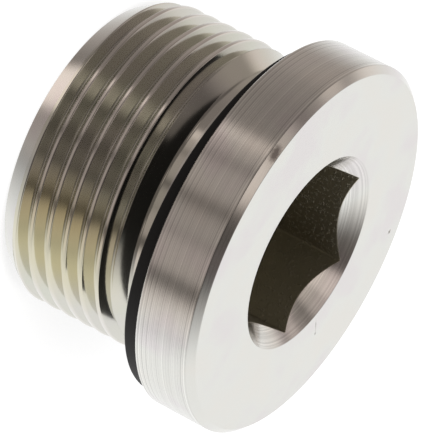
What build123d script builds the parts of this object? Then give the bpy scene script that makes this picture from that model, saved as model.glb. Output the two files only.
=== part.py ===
"""Hexagon socket screw plug with a soft sealing ring behind its flange.

The plug is one turned piece: a round flange with a countersunk hexagon socket, and a shank that carries
the thread. The ring lies in a recess in the flange's rear face, around the neck between flange and thread.
Z is the plug's axis. Z = 0 is the end face of the shank, and the socket opens upwards.
Millimetres and degrees.
"""

import os
from math import cos, pi, radians, sin, tan

from build123d import *

# Flange: it reaches past the thread all round, which makes room for the ring behind it
flange_overhang = 3.4
flange_thickness = 6.7
flange_chamfer = 0.7
rear_edge_break = 0.12

# Shank: its full diameter is the crest diameter of the 33 x 2 thread
thread_diameter = 33.0
shank_length = 19.3
lead_chamfer_length = 2.5
lead_chamfer_depth = 1.5

# Neck between the flange and the thread, with a sloping shoulder up to the crests
neck_relief = 1.65
neck_length = 4.2
shoulder_slope = 30.0
neck_fillet = 0.35

# Recess in the flange's rear face: the lip around it closes metal to metal on the port
seat_lip_width = 0.55
recess_depth = 1.45

# Sealing ring: it sits a little askew, deeper in its recess on one side than on the other
ring_thickness = 2.0
ring_edge_break = 0.15
ring_outer_clearance = 0.2
ring_bore_clearance = 0.25
ring_seat_gap = 0.02
ring_tilt = 1.93
ring_low_side = 13.2

# Hexagon socket
hexagon_width = 17.0
hexagon_depth = 10.0
countersink_margin = 0.66
countersink_angle = 90.0
pilot_margin = 0.15
pilot_depth = 1.2
drill_point_angle = 118.0

# Heights of the main faces above the end face
seat_height = shank_length
front_height = seat_height + flange_thickness
recess_height = seat_height + recess_depth
neck_bottom = seat_height - neck_length
shoulder_bottom = neck_bottom - neck_relief * tan(radians(shoulder_slope))

# Radii
thread_radius = thread_diameter / 2
flange_radius = thread_radius + flange_overhang
end_radius = thread_radius - lead_chamfer_depth
neck_radius = thread_radius - neck_relief
recess_radius = flange_radius - seat_lip_width
ring_outer_radius = recess_radius - ring_outer_clearance
ring_bore_radius = neck_radius + ring_bore_clearance

# Socket: a cone from the front face down to the corners of the hexagon and past them, to the flats
hexagon_corner_radius = hexagon_width / 2 / cos(pi / 6)
countersink_radius = hexagon_corner_radius + countersink_margin
countersink_depth = countersink_radius / tan(radians(countersink_angle / 2))
pilot_radius = hexagon_width / 2 - pilot_margin
drill_point_depth = pilot_radius / tan(radians(drill_point_angle / 2))
hexagon_bottom = front_height - hexagon_depth
pilot_bottom = hexagon_bottom - pilot_depth


# Plug: the whole turned form is one half section, revolved
with BuildPart() as plug_body:
    with BuildSketch(Plane.XZ):
        with BuildLine():
            Polyline(
                (0, 0),
                (end_radius, 0),
                (thread_radius, lead_chamfer_length),
                (thread_radius, shoulder_bottom),
                (neck_radius, neck_bottom),
                (neck_radius, recess_height),
                (recess_radius, recess_height),
                (recess_radius, seat_height),
                (flange_radius, seat_height),
                (flange_radius, front_height),
                (0, front_height),
                close=True,
            )
        make_face()
    revolve(axis=Axis.Z)

    # Edges that a turning tool leaves rounded or broken, each looked for close to its height
    nearby = 0.01
    rings = plug_body.edges().filter_by(GeomType.CIRCLE)
    front_edge = rings.group_by(Axis.Z)[-1]
    chamfer(front_edge, flange_chamfer)
    rings = plug_body.edges().filter_by(GeomType.CIRCLE)
    seat_edges = rings.filter_by_position(Axis.Z, seat_height - nearby, seat_height + nearby)
    chamfer(seat_edges.sort_by(SortBy.RADIUS)[-1], rear_edge_break)
    rings = plug_body.edges().filter_by(GeomType.CIRCLE)
    neck_edge = rings.filter_by_position(Axis.Z, neck_bottom - nearby, neck_bottom + nearby)
    fillet(neck_edge, neck_fillet)

    # Countersink: its cone meets each flat of the hexagon in an arc, and the corners higher up
    with BuildSketch(Plane.XZ):
        with BuildLine():
            Polyline(
                (0, front_height),
                (countersink_radius, front_height),
                (0, front_height - countersink_depth),
                close=True,
            )
        make_face()
    revolve(axis=Axis.Z, mode=Mode.SUBTRACT)

    # Hexagon, with a corner on +X
    with BuildSketch(Plane.XY.offset(hexagon_bottom)):
        RegularPolygon(hexagon_corner_radius, 6)
    extrude(amount=hexagon_depth, mode=Mode.SUBTRACT)

    # Pilot hole below it, with the cone that the drill's point leaves
    with BuildSketch(Plane.XZ):
        with BuildLine():
            Polyline(
                (0, hexagon_bottom),
                (pilot_radius, hexagon_bottom),
                (pilot_radius, pilot_bottom),
                (0, pilot_bottom - drill_point_depth),
                close=True,
            )
        make_face()
    revolve(axis=Axis.Z, mode=Mode.SUBTRACT)
plug_body.part.label = "plug_body"


# Sealing ring: its upper rim touches the recess floor on one side, and the other side stands proud
ring_drop = ring_outer_radius * sin(radians(ring_tilt)) + ring_seat_gap
ring_top = Vector(0, 0, recess_height - ring_drop)
tilt_axis_angle = radians(ring_low_side + 90)
tilt_axis = Vector(cos(tilt_axis_angle), sin(tilt_axis_angle), 0)
ring_normal = Vector(0, 0, 1).rotate(Axis((0, 0, 0), tilt_axis), ring_tilt)
ring_plane = Plane(origin=ring_top, x_dir=tilt_axis, z_dir=ring_normal)

with BuildPart() as seal_ring:
    with BuildSketch(ring_plane):
        Circle(ring_outer_radius)
        Circle(ring_bore_radius, mode=Mode.SUBTRACT)
    extrude(amount=-ring_thickness)
    outer_edges = seal_ring.edges().filter_by(GeomType.CIRCLE).sort_by(SortBy.RADIUS)[-2:]
    chamfer(outer_edges, ring_edge_break)
seal_ring.part.label = "seal_ring"


os.makedirs("parts", exist_ok=True)
export_step(plug_body.part, "parts/plug_body.step")
export_step(seal_ring.part, "parts/seal_ring.step")
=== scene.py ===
"""Look of a hexagon socket screw plug: one turned, zinc-plated steel piece with a black rubber ring behind
its flange. Sizes are in millimetres in the text, and become metres where a mesh is made."""
from math import cos, pi, radians, sin, tan

import bpy
import numpy as np
from mathutils import Euler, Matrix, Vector


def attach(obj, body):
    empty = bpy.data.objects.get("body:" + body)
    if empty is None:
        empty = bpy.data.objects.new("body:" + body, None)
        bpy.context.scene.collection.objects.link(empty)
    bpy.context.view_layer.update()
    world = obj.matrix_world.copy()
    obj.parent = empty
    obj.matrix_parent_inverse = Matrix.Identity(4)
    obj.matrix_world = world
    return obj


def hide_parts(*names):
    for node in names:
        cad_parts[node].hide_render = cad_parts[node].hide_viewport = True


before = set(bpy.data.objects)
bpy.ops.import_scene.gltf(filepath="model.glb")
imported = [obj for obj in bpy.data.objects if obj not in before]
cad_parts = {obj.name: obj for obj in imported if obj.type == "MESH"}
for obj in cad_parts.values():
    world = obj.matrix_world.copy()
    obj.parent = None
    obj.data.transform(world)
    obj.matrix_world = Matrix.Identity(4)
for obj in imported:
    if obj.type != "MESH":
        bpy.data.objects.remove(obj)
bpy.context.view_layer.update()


# Plug, turned form
# One piece cut from a steel bar: flange, neck, threaded shank and hexagon socket. The lathe makes everything
# round, the thread is cut with one tool whose tip is a little rounded, and the hexagon is broached.

# Angles of the mesh's columns, which stand closer together near the hexagon's six corners
columns = 204
crowding = 0.8
even_angles = np.arange(columns) * 2 * pi / columns
angles = even_angles - crowding * np.sin(6 * even_angles) / 6

flange_radius = 19.9
front_height = 26.0
front_chamfer = 0.7
seat_height = 19.3
seat_chamfer = 0.12
neck_radius = 14.85
recess_height = 20.75
recess_radius = 19.35
countersink_radius = 10.475
hexagon_half_width = 8.5
hexagon_corner_rounding = 0.3
hexagon_bottom = 16.0
pilot_radius = 8.35
pilot_bottom = 14.8
drill_tip = 9.783


def rounded_section(corners, hold=0.03):
    """Section through a turned piece, with its corners rounded. A corner is (radius, height, rounding,
    steps), where radius may differ from column to column. The arc in a corner starts where both runs are
    tangent to it: point = start + rounding * (sin a * run in + (1 - cos a) * normal), for a from 0 to the
    turning angle. A point just outside each end of an arc keeps the shading of the long runs flat.
    Returns radius and height as rows x columns, and the number of the corner that each row belongs to."""
    path = np.stack([np.stack([r + 0 * angles, z + 0 * angles], -1) for r, z, _, _ in corners])
    runs = path[1:] - path[:-1]
    runs /= np.linalg.norm(runs, axis=-1, keepdims=True)
    rows, owner = [path[0]], [0]
    for k in range(1, len(corners) - 1):
        rounding, steps = corners[k][2:]
        if not steps:
            rows.append(path[k])
            owner.append(k)
            continue
        run_in, run_out = runs[k - 1], runs[k]
        turn = np.arccos(np.clip((run_in * run_out).sum(-1, keepdims=True), -1, 1))
        normal = (run_out - np.cos(turn) * run_in) / np.sin(turn)
        cut = rounding * np.tan(turn / 2)
        start = path[k] - cut * run_in
        rows.append(start - hold * run_in)
        for share in np.linspace(0, 1, steps + 1):
            a = turn * share
            rows.append(start + rounding * (np.sin(a) * run_in + (1 - np.cos(a)) * normal))
        rows.append(path[k] + (cut + hold) * run_out)
        owner += [k] * (steps + 3)
    rows.append(path[-1])
    owner.append(len(corners) - 1)
    rows = np.stack(rows)
    return rows[..., 0], rows[..., 1], np.array(owner)


def hexagon_radius(angle):
    """Distance from the axis to the hexagon's wall, half width / cos(angle from the flat's middle), and near
    a corner the distance to the arc that rounds it."""
    from_middle = np.abs(np.mod(angle, pi / 3) - pi / 6)
    flat = hexagon_half_width / np.cos(from_middle)
    centre = (hexagon_half_width - hexagon_corner_rounding) / cos(pi / 6)
    from_corner = pi / 6 - from_middle
    under = np.clip(hexagon_corner_rounding**2 - (centre * np.sin(from_corner)) ** 2, 0, None)
    arc = centre * np.cos(from_corner) + np.sqrt(under)
    tangent = np.arctan((hexagon_half_width - hexagon_corner_rounding) * tan(pi / 6) / hexagon_half_width)
    return np.where(from_middle > tangent, arc, flat)


def soft_least(a, b, width):
    """The smaller of a and b, with the crease between them rounded over the given difference."""
    share = np.clip(0.5 + 0.5 * (b - a) / width, 0, 1)
    return b + (a - b) * share - width * share * (1 - share)


# Thread of 2 mm pitch, right-hand, as one pitch of its section: from the middle of a crest down one flank,
# round the root and up the next flank. The flanks stand at 60 degrees to each other.
crest_radius = 16.5
pitch = 2.0
crest_half_width = 0.19
crest_rounding = 0.13
root_rounding = 0.2
crest_at_angle_0 = 0.35
flank_drop = (pitch / 2 - crest_half_width) / tan(pi / 6)
thread_radius, thread_along, _ = rounded_section([
    (crest_radius, 0.0, 0, 0),
    (crest_radius, crest_half_width, crest_rounding, 3),
    (crest_radius - flank_drop, pitch / 2, root_rounding, 4),
    (crest_radius, pitch - crest_half_width, crest_rounding, 3),
    (crest_radius, pitch, 0, 0),
], hold=0.01)
longest_step = 0.1
knots = np.stack([thread_radius[:, 0], thread_along[:, 0]], -1)
gaps = np.linalg.norm(np.diff(knots, axis=0), axis=1)
parts = np.maximum(1, np.ceil(gaps / longest_step)).astype(int)
knot_position = np.concatenate([np.arange(n) / n + i for i, n in enumerate(parts)])
one_radius = np.interp(knot_position, np.arange(len(knots)), knots[:, 0])
one_along = np.interp(knot_position, np.arange(len(knots)), knots[:, 1])
rows_a_pitch = len(one_radius)

# The bar that the thread is cut into: a cone at its lower end and a sloping shoulder down to the neck, which
# takes the top off the last crest. The groove runs in above a plain stretch of the lower cone.
end_radius = 15.0
lead_slope = 0.6
run_in_height = 1.78
run_in_width = 0.12
shoulder_slope = radians(52)
shoulder_outer, shoulder_top = 20.0, 15.1
shoulder_bottom = shoulder_top - (shoulder_outer - neck_radius) * tan(shoulder_slope)
shoulder_radius, shoulder_height, _ = rounded_section([
    (shoulder_outer, shoulder_bottom, 0, 0),
    (neck_radius, shoulder_top, 0.6, 6),
    (neck_radius, 17.0, 0, 0),
])

# The thread's mesh runs between two heights, where it joins the rest of the plug
thread_start, thread_end = 0.2, 16.0
turn_numbers = np.arange(-2, 8)
along = (crest_at_angle_0 + turn_numbers[:, None] * pitch + one_along[None, :]).ravel()
helix_height = along[:, None] + pitch * angles[None, :] / (2 * pi)
snap = 0.01
helix_height = np.where(helix_height < thread_start + snap, thread_start, helix_height)
helix_height = np.where(helix_height > thread_end - snap, thread_end, helix_height)
cut_depth = crest_radius - np.tile(one_radius, len(turn_numbers))[:, None]
helix_radius = crest_radius - cut_depth * np.clip((helix_height - run_in_height) / run_in_width + 0.5, 0, 1)
lead_crease, shoulder_crease = 0.12, 0.05
helix_radius = soft_least(helix_radius, end_radius + lead_slope * helix_height, lead_crease)
helix_radius = soft_least(
    helix_radius, np.interp(helix_height, shoulder_height[:, 0], shoulder_radius[:, 0]), shoulder_crease)

low_radius, low_height, _ = rounded_section([
    (0.0, 0.0, 0, 0),
    (end_radius, 0.0, 0.06, 3),
    (end_radius + lead_slope * thread_start, thread_start, 0, 0),
])
wall = hexagon_radius(angles)
high_radius, high_height, high_corner = rounded_section([
    (neck_radius, thread_end, 0, 0),
    (neck_radius, recess_height, 0.2, 3),
    (recess_radius, recess_height, 0.2, 3),
    (recess_radius, seat_height, 0.06, 3),
    (flange_radius - seat_chamfer, seat_height, 0.05, 2),
    (flange_radius, seat_height + seat_chamfer, 0.05, 2),
    (flange_radius, front_height - front_chamfer, 0.12, 4),
    (flange_radius - front_chamfer, front_height, 0.12, 4),
    (countersink_radius, front_height, 0.1, 4),
    (wall, front_height - (countersink_radius - wall), 0.1, 4),
    (wall, hexagon_bottom, 0.1, 3),
    (pilot_radius, hexagon_bottom, 0.04, 2),
    (pilot_radius, pilot_bottom, 0.1, 3),
    (0.0, drill_tip, 0, 0),
])

# The corner above from which the broach's finish begins
socket_corner = 9


def closed_grid(numbers, last):
    """Triangles of a grid of vertex numbers, rows x columns, whose last column meets the column given. Two
    triangles fill each cell, and those that have lost a side are left out."""
    across = np.concatenate([numbers, last[:, None]], 1)
    a, b, c, d = across[:-1, :-1], across[:-1, 1:], across[1:, 1:], across[1:, :-1]
    cells = np.concatenate([np.stack([a, b, c], -1).reshape(-1, 3), np.stack([a, c, d], -1).reshape(-1, 3)])
    whole = (cells[:, 0] != cells[:, 1]) & (cells[:, 1] != cells[:, 2]) & (cells[:, 2] != cells[:, 0])
    return cells[whole]


def round_points(radius, height):
    """Points (radius cos angle, radius sin angle, height) of rows x columns."""
    points = np.stack([radius * np.cos(angles), radius * np.sin(angles), height + 0 * angles], -1)
    return points.reshape(-1, 3)


def mesh_piece(name, points, triangles, finish=None):
    """Object made of points in millimetres and triangles, shaded smooth, with the number of each triangle's
    finish."""
    mesh = bpy.data.meshes.new(name)
    mesh.from_pydata((points * 0.001).tolist(), [], triangles.tolist())
    if finish is not None:
        mesh.polygons.foreach_set("material_index", finish.astype(np.int32))
    mesh.shade_smooth()
    piece = bpy.data.objects.new(name, mesh)
    bpy.context.scene.collection.objects.link(piece)
    return piece


low_numbers = np.arange(low_radius.size).reshape(low_radius.shape)
low_numbers[0, :] = 0
high_numbers = low_radius.size + np.arange(high_radius.size).reshape(high_radius.shape)
high_numbers[-1, :] = high_numbers[-1, 0]
helix_numbers = low_radius.size + high_radius.size + np.arange(helix_height.size).reshape(helix_height.shape)
helix_numbers = np.where(helix_height <= thread_start, low_numbers[-1][None, :], helix_numbers)
helix_numbers = np.where(helix_height >= thread_end, high_numbers[0][None, :], helix_numbers)
next_turn = np.concatenate([helix_numbers[rows_a_pitch:, 0], np.full(rows_a_pitch, high_numbers[0, 0])])

low_triangles = closed_grid(low_numbers, low_numbers[:, 0])
thread_triangles = closed_grid(helix_numbers, next_turn)
outside = np.searchsorted(high_corner, socket_corner)
outer_triangles = closed_grid(high_numbers[:outside + 1], high_numbers[:outside + 1, 0])
socket_triangles = closed_grid(high_numbers[outside:], high_numbers[outside:, 0])
plug_points = np.concatenate([
    round_points(low_radius, low_height),
    round_points(high_radius, high_height),
    round_points(helix_radius, helix_height),
])
plug_triangles = np.concatenate([low_triangles, outer_triangles, thread_triangles, socket_triangles])
used, plug_triangles = np.unique(plug_triangles, return_inverse=True)
plug_triangles = plug_triangles.reshape(-1, 3)
finish_number = np.repeat([0, 0, 1, 2], [
    len(low_triangles), len(outer_triangles), len(thread_triangles), len(socket_triangles)])
middle_height = plug_points[used][plug_triangles, 2].mean(1)
finish_number[(finish_number == 1) & (middle_height < run_in_height)] = 0
plug = mesh_piece("plug_turned", plug_points[used], plug_triangles, finish_number)


def colour(hexadecimal):
    """Linear red, green, blue and 1 of an sRGB hex colour."""
    parts = np.array([int(hexadecimal[i:i + 2], 16) for i in (0, 2, 4)]) / 255
    linear = np.where(parts <= 0.04045, parts / 12.92, ((parts + 0.055) / 1.055) ** 2.4)
    return (*linear.tolist(), 1.0)


def add(tree, kind, inputs=None, **settings):
    """Adds a node. settings are its own properties, and inputs gives a value or a link to each socket."""
    made = tree.nodes.new("ShaderNode" + kind)
    for name, value in settings.items():
        setattr(made, name, value)
    for name, value in (inputs or {}).items():
        if isinstance(value, bpy.types.NodeSocket):
            tree.links.new(value, made.inputs[name])
        else:
            made.inputs[name].default_value = value
    return made


def marked(tree, place, tone, start, end, width, mark):
    """Lays the tone of a mark over another: an oval from start to end, as wide as width, all in millimetres.
    The distance along it is shortened to the width's share, so that the oval becomes a circle. The mark is
    whole within 0.3 of the width from its middle, and gone at 0.7."""
    start, end = Vector(start) * 0.001, Vector(end) * 0.001
    middle = tuple((start + end) / 2)
    run = end - start
    lengthwise = tuple(run.normalized())
    shorter = 1 - width * 0.001 / run.length
    offset = add(tree, "VectorMath", {0: place, 1: middle}, operation="SUBTRACT").outputs[0]
    along = add(tree, "VectorMath", {0: offset, 1: lengthwise}, operation="DOT_PRODUCT")
    taken = add(tree, "Math", {0: along.outputs["Value"], 1: shorter}, operation="MULTIPLY")
    taken = add(tree, "VectorMath", {0: lengthwise, "Scale": taken.outputs[0]}, operation="SCALE")
    offset = add(tree, "VectorMath", {0: offset, 1: taken.outputs[0]}, operation="SUBTRACT")
    gap = add(tree, "VectorMath", {0: offset.outputs[0]}, operation="LENGTH")
    inside = add(tree, "MapRange", {
        "Value": gap.outputs["Value"], "From Min": width * 0.0007, "From Max": width * 0.0003})
    mixed = add(tree, "Mix", {0: inside.outputs[0], 6: tone, 7: colour(mark)}, data_type="RGBA")
    return mixed.outputs[2]


# Sizes of the patterns on turned steel: patches where the zinc is a little thicker or thinner, and the small
# waves in the outline of a mark
drift_size = 6.25
wave_size, wave_height = 0.25, 0.4


def turned_material(name, tones, roughness, ring_spacing, ring_depth, along_axis=1.0, crest=None, marks=()):
    """Turned metal: fine rings from a noise that only knows distance from the axis and, unless along_axis is
    0, height, so that it follows every turned face or the thread, and a slow drift through three tones of
    the zinc. On the flange's side and in the countersink the rings are light and dark too. With crest, that
    tone takes the place of the others at the thread's full radius. Spacing and depth are in millimetres."""
    material = bpy.data.materials.new(name)
    material.use_nodes = True
    tree = material.node_tree
    tree.nodes.clear()
    place = add(tree, "TexCoord").outputs["Object"]
    split = add(tree, "SeparateXYZ", {0: place})
    flat = add(tree, "CombineXYZ", {0: split.outputs[0], 1: split.outputs[1]})
    away = add(tree, "VectorMath", {0: flat.outputs[0]}, operation="LENGTH").outputs["Value"]
    height = add(tree, "Math", {0: split.outputs[2], 1: along_axis}, operation="MULTIPLY").outputs[0]
    rings = add(tree, "CombineXYZ", {0: away, 1: height})
    lay = add(tree, "TexNoise", {
        "Vector": rings.outputs[0], "Scale": 1000 / ring_spacing, "Detail": 3.0})
    drift = add(tree, "TexNoise", {"Vector": place, "Scale": 1000 / drift_size, "Detail": 3.0})
    lower = add(tree, "MapRange", {"Value": drift.outputs[0], "From Min": 0.35, "From Max": 0.5})
    upper = add(tree, "MapRange", {"Value": drift.outputs[0], "From Min": 0.5, "From Max": 0.65})
    tone = add(tree, "Mix", {
        0: lower.outputs[0], 6: colour(tones[0]), 7: colour(tones[1])}, data_type="RGBA")
    tone = add(tree, "Mix", {
        0: upper.outputs[0], 6: tone.outputs[2], 7: colour(tones[2])}, data_type="RGBA")
    if crest:
        # At the thread's full radius the lighter crest tone is a painted highlight, not wear.
        crest_highlight_share = add(tree, "MapRange", {
            0: away, "From Min": (crest_radius - 0.2) * 0.001, "From Max": (crest_radius - 0.05) * 0.001})
        tone = add(tree, "Mix", {
            0: crest_highlight_share.outputs[0], 6: tone.outputs[2], 7: colour(crest)}, data_type="RGBA")
    outside = add(tree, "MapRange", {
        "Value": away, "From Min": (flange_radius - 0.05) * 0.001, "From Max": (flange_radius - 0.01) * 0.001,
        "To Max": 0.2})
    inside = add(tree, "MapRange", {
        "Value": away, "From Min": (countersink_radius - 0.025) * 0.001,
        "From Max": (countersink_radius - 0.075) * 0.001, "To Max": 0.12})
    swing = add(tree, "Math", {0: outside.outputs[0], 1: inside.outputs[0]}, operation="MAXIMUM")
    light = add(tree, "MapRange", {
        "Value": lay.outputs[0], "From Min": 0.38, "From Max": 0.62, "To Min": -1.0, "To Max": 1.0})
    light = add(tree, "Math", {0: light.outputs[0], 1: swing.outputs[0], 2: 1.0}, operation="MULTIPLY_ADD")
    tone = add(tree, "Mix", {0: 1.0, 6: tone.outputs[2], 7: light.outputs[0]}, data_type="RGBA",
               blend_type="MULTIPLY").outputs[2]
    wander = add(tree, "TexNoise", {"Vector": place, "Scale": 1000 / wave_size})
    wander = add(tree, "VectorMath", {
        0: wander.outputs["Color"], 1: (0.5, 0.5, 0.5)}, operation="SUBTRACT")
    wander = add(tree, "VectorMath", {0: wander.outputs[0], "Scale": wave_height * 0.001}, operation="SCALE")
    wander = add(tree, "VectorMath", {0: wander.outputs[0], 1: place}, operation="ADD").outputs[0]
    for mark in marks:
        tone = marked(tree, wander, tone, *mark)
    rough = add(tree, "MapRange", {
        "Value": lay.outputs[0], "To Min": roughness - 0.05, "To Max": roughness + 0.05})
    bump = add(tree, "Bump", {"Height": lay.outputs[0], "Strength": 1.0, "Distance": ring_depth * 0.001})
    shader = add(tree, "BsdfPrincipled", {
        "Base Color": tone, "Metallic": 1.0, "Roughness": rough.outputs[0], "Normal": bump.outputs[0]})
    add(tree, "OutputMaterial", {"Surface": shader.outputs[0]})
    return material


# A dent in the edge of the flange, a dot and a short scratch on the face, with a blot at its end: start, end,
# width and tone
handling_marks = [
    ((0.8, -19.53, 25.5), (2.5, -19.35, 25.75), 0.8, "8c8884"),
    ((-12.4, 12.46, 26.0), (-12.0, 12.48, 26.0), 0.36, "8c877c"),
    ((0.84, 11.23, 26.0), (1.37, 13.16, 26.0), 0.14, "bebcb6"),
    ((1.33, 12.95, 26.0), (1.40, 13.25, 26.0), 0.24, "96928a"),
]

# On one side of the thread the tone is lighter and yellower: partly the zinc passivation's yellow, partly a
# painted reflection of the white table below
yellow_tint_and_painted_reflection = [((14.8, -6.1, 0.0), (14.8, -6.1, 14.0), 12.0, "dad5be")]

# Steel turned on a lathe and zinc plated: bright, with soft reflections drawn out across its fine rings. On
# the thread the cutter leaves it smoother, so that the flanks mirror each other and look dark. The thread's
# crests are painted in a lighter tone than its flanks and roots: a painted highlight.
plug.data.materials.append(turned_material(
    "zinc_plated_steel_turned", ("e3e1db", "e2e2dd", "e0dcdb"), roughness=0.18, ring_spacing=0.17,
    ring_depth=0.006, marks=handling_marks))
plug.data.materials.append(turned_material(
    "zinc_plated_steel_threaded", ("d6d4ce", "d5d4cb", "d4d5ca"), roughness=0.13, ring_spacing=0.6,
    ring_depth=0.0015, along_axis=0.0, crest="e2dfd9", marks=yellow_tint_and_painted_reflection))


# The socket is pushed out with a broach, which tears the steel a little, and the zinc lies thin there. Its
# walls are dull and dark, with bright specks.
broached = bpy.data.materials.new("zinc_plated_steel_broached")
broached.use_nodes = True
tree = broached.node_tree
tree.nodes.clear()
speck_size, speck_height = 0.3, 0.06
patch_size = 10 / 3
place = add(tree, "TexCoord").outputs["Object"]
grain = add(tree, "TexNoise", {"Vector": place, "Scale": 1000 / speck_size, "Detail": 4.0})
drift = add(tree, "TexNoise", {"Vector": place, "Scale": 1000 / patch_size, "Detail": 3.0})
specks = add(tree, "MapRange", {"Value": grain.outputs[0], "From Min": 0.56, "From Max": 0.68})
tone = add(tree, "Mix", {0: drift.outputs[0], 6: colour("aba694"), 7: colour("bbb6a6")}, data_type="RGBA")
bump = add(tree, "Bump", {"Height": specks.outputs[0], "Strength": 1.0, "Distance": speck_height * 0.001})
shader = add(tree, "BsdfPrincipled", {
    "Base Color": tone.outputs[2], "Metallic": 1.0, "Roughness": 0.45, "Normal": bump.outputs[0]})
add(tree, "OutputMaterial", {"Surface": shader.outputs[0]})
plug.data.materials.append(broached)
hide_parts("plug_body")
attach(plug, "root")


# Sealing ring
# A ring of black rubber that seals the flange against its seat, moulded with rounded edges. It lies round the
# neck in the flange's recess, a little askew.
ring_outer = 19.15
ring_bore = 15.1
ring_thickness = 2.0
ring_rounding = 0.25
ring_tilt = radians(1.93)
ring_low_side = radians(13.2)
ring_play = 0.02
ring_top = recess_height - ring_outer * sin(ring_tilt) - ring_play
ring_radius, ring_height, _ = rounded_section([
    (ring_outer, -ring_thickness / 2, 0, 0),
    (ring_outer, 0.0, ring_rounding, 5),
    (ring_bore, 0.0, ring_rounding, 5),
    (ring_bore, -ring_thickness, ring_rounding, 5),
    (ring_outer, -ring_thickness, ring_rounding, 5),
    (ring_outer, -ring_thickness / 2, 0, 0),
])
lean = np.array([cos(ring_low_side), sin(ring_low_side)])
ring_points = round_points(ring_radius[:-1], ring_height[:-1])
side = ring_points[:, :2] @ lean
ring_points[:, :2] += np.outer(side * (cos(ring_tilt) - 1) + ring_points[:, 2] * -sin(ring_tilt), lean)
ring_points[:, 2] = ring_top + ring_points[:, 2] * cos(ring_tilt) - side * sin(ring_tilt)
ring_numbers = np.arange(ring_radius[:-1].size).reshape(ring_radius[:-1].shape)
ring_numbers = np.concatenate([ring_numbers, ring_numbers[:1]])
ring = mesh_piece("rubber_ring", ring_points, closed_grid(ring_numbers, ring_numbers[:, 0]))

# Nitrile rubber from a mould: black, with a matt skin that is finely grained
grain_size, grain_height = 1 / 6, 0.02
rubber = bpy.data.materials.new("nitrile_rubber_moulded")
rubber.use_nodes = True
tree = rubber.node_tree
tree.nodes.clear()
place = add(tree, "TexCoord").outputs["Object"]
grain = add(tree, "TexNoise", {"Vector": place, "Scale": 1000 / grain_size, "Detail": 3.0})
bump = add(tree, "Bump", {"Height": grain.outputs[0], "Strength": 0.5, "Distance": grain_height * 0.001})
shader = add(tree, "BsdfPrincipled", {
    "Base Color": colour("0e0d0c"), "Roughness": 0.55, "Specular IOR Level": 0.3,
    "Normal": bump.outputs[0]})
add(tree, "OutputMaterial", {"Surface": shader.outputs[0]})
ring.data.materials.append(rubber)
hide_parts("seal_ring")
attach(ring, "root")


# Camera
# A long lens, 0.46 m from the front face, 25.5 degrees round and 23.3 degrees above the flange's plane, and
# rolled so that the plug's axis runs down to the right.
camera = bpy.data.cameras.new("camera")
camera.sensor_fit = "HORIZONTAL"
camera.sensor_width = 36.0
camera.lens = 399.8
camera.clip_start = 0.05
camera.clip_end = 10.0
camera_turn = Euler([radians(x) for x in (-46.9632, -54.6449, 168.0266)], "XYZ")
camera_object = bpy.data.objects.new("camera", camera)
camera_object.location = (0.183076, -0.383827, 0.197773)
camera_object.rotation_euler = camera_turn
bpy.context.scene.collection.objects.link(camera_object)
bpy.context.scene.camera = camera_object
bpy.context.scene.view_settings.view_transform = "Standard"


# Surroundings
# White all round, and a white floor that takes a faint shadow. The metal's reflections see a tent instead,
# with a white table below, a dim warm room on the other sides and soft lights in it. The lights of negative
# strength darken the middle, where the camera stands.
world = bpy.data.worlds.new("white_surroundings")
bpy.context.scene.world = world
world.use_nodes = True
tree = world.node_tree
tree.nodes.clear()
path = add(tree, "LightPath")
seen = add(tree, "Math", {
    0: path.outputs["Is Camera Ray"], 1: path.outputs["Is Glossy Ray"]}, operation="MAXIMUM")
seen = add(tree, "Math", {0: seen.outputs[0], 1: path.outputs["Is Transmission Ray"]}, operation="MAXIMUM")
level = add(tree, "MapRange", {"Value": seen.outputs[0], "To Min": 0.7, "To Max": 1.0})
back = add(tree, "Background", {"Color": (1, 1, 1, 1), "Strength": level.outputs[0]})
add(tree, "OutputWorld", {"Surface": back.outputs[0]})


def stage_piece(name, points, faces):
    """Object that is not part of the plug, and the node tree of its material, empty."""
    mesh = bpy.data.meshes.new(name)
    mesh.from_pydata(points, [], faces)
    made = bpy.data.objects.new(name, mesh)
    bpy.context.scene.collection.objects.link(made)
    paint = bpy.data.materials.new(name)
    paint.use_nodes = True
    paint.node_tree.nodes.clear()
    mesh.materials.append(paint)
    return made, paint.node_tree


# The floor lies a hair below the plug's end, so that the two don't share a plane
floor_half = 0.5
floor_height = -0.00002
floor, tree = stage_piece("white_floor", [
    (-floor_half, -floor_half, floor_height), (floor_half, -floor_half, floor_height),
    (floor_half, floor_half, floor_height), (-floor_half, floor_half, floor_height)], [(0, 1, 2, 3)])
floor.visible_glossy = False
matt = add(tree, "BsdfDiffuse", {"Color": (0.4, 0.4, 0.4, 1)})
glow = add(tree, "Emission", {"Color": (1, 1, 1, 1), "Strength": 0.72})
both = add(tree, "AddShader", {0: matt.outputs[0], 1: glow.outputs[0]})
add(tree, "OutputMaterial", {"Surface": both.outputs[0]})

tent_radius = 0.9
around, over = np.meshgrid(np.linspace(0, 2 * pi, 65), np.linspace(-pi / 2, pi / 2, 33))
tent_points = tent_radius * np.stack([
    np.cos(over) * np.cos(around), np.cos(over) * np.sin(around), np.sin(over)], -1)
tent_numbers = np.arange(around.size).reshape(around.shape)
tent_faces = np.stack([
    tent_numbers[:-1, :-1], tent_numbers[:-1, 1:], tent_numbers[1:, 1:], tent_numbers[1:, :-1]], -1)
tent, tree = stage_piece(
    "reflected_tent", tent_points.reshape(-1, 3).tolist(), tent_faces.reshape(-1, 4).tolist())
tent.visible_camera = False
tent.visible_diffuse = False
tent.visible_shadow = False
place = add(tree, "TexCoord").outputs["Object"]
way = add(tree, "VectorMath", {0: place}, operation="NORMALIZE")


def toward(direction, low, high):
    """How much a point of the tent lies toward a direction, given by its right, down and forward parts in the
    camera's view: 0 where their cosine is low, 1 where it is high, and smooth between."""
    across, down, forward = direction
    axis = camera_turn.to_matrix() @ Vector((across, -down, -forward)).normalized()
    dot = add(tree, "VectorMath", {0: way.outputs[0], 1: tuple(axis)}, operation="DOT_PRODUCT")
    return add(tree, "MapRange", {"Value": dot.outputs["Value"], "From Min": low, "From Max": high},
               interpolation_type="SMOOTHSTEP").outputs[0]


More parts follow.
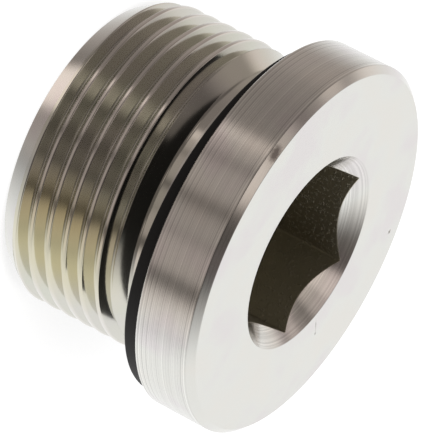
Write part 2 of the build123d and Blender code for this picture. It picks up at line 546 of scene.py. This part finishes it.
# Each light: its direction, the angles in degrees at which it ends and at which it is full, and its strength
table = toward((0.06, 0.62, 0.78), -0.1, 0.68)
room = 0.14
dimmest = 0.01
room_lights = [
    ((-0.70, -0.59, 0.40), 11, 6, 0.95),
    ((-0.87, -0.36, 0.37), 13, 6, 0.22),
    ((-0.37, -0.78, -0.50), 12, 5, 0.31),
    ((-0.30, -0.83, -0.48), 5, 2, 0.28),
    ((-0.46, -0.78, -0.43), 5, 2, 0.15),
    ((-0.54, -0.50, -0.68), 14, 5, 0.25),
    ((-0.74, -0.12, -0.66), 12, 3, 0.22),
    ((-0.83, 0.18, -0.53), 13, 7, 0.28),
    ((-0.87, 0.48, -0.08), 17, 6, 0.55),
    ((-0.10, -0.95, -0.25), 28, 10, 0.1),
    ((0.12, -0.74, 0.66), 50, 12, 0.24),
    ((0.71, 0.12, -0.69), 13, 5, 0.65),
    ((0.84, -0.12, -0.53), 14, 5, 0.38),
    ((0.93, -0.37, 0.00), 9, 4, 0.25),
    ((0.91, -0.37, 0.20), 38, 12, 0.22),
    ((0.72, -0.31, 0.62), 26, 8, 0.4),
    ((-0.48, 0.47, -0.74), 9, 4, 0.3),
    ((-0.30, -0.17, -0.94), 9, 4, 0.35),
    ((0.10, -0.68, -0.73), 12, 5, 0.3),
    ((0.34, 0.38, -0.86), 17, 9, -0.13),
    ((0.20, 0.70, -0.68), 15, 8, -0.13),
    ((0.49, 0.08, -0.87), 15, 8, -0.13),
]
for direction, outer, inner, strength in room_lights:
    light = toward(direction, cos(radians(outer)), cos(radians(inner)))
    room = add(tree, "Math", {0: light, 1: strength, 2: room}, operation="MULTIPLY_ADD").outputs[0]
room = add(tree, "Math", {0: room, 1: dimmest}, operation="MAXIMUM").outputs[0]
white = add(tree, "Emission", {"Color": (1, 1, 1, 1), "Strength": 1.0})
warm = add(tree, "Emission", {"Color": (1.0, 0.87, 0.80, 1), "Strength": room})
shown = add(tree, "MixShader", {0: table, 1: warm.outputs[0], 2: white.outputs[0]})
add(tree, "OutputMaterial", {"Surface": shown.outputs[0]})

key = bpy.data.lights.new("key", "AREA")
key.shape = "SQUARE"
key.size = 0.4
key.energy = 4.0
key_lamp = bpy.data.objects.new("key", key)
key_lamp.location = (0.1, -0.5, 0.6)
key_lamp.rotation_mode = "QUATERNION"
key_lamp.rotation_quaternion = key_lamp.location.to_track_quat("Z", "Y")
key_lamp.visible_glossy = False
bpy.context.scene.collection.objects.link(key_lamp)
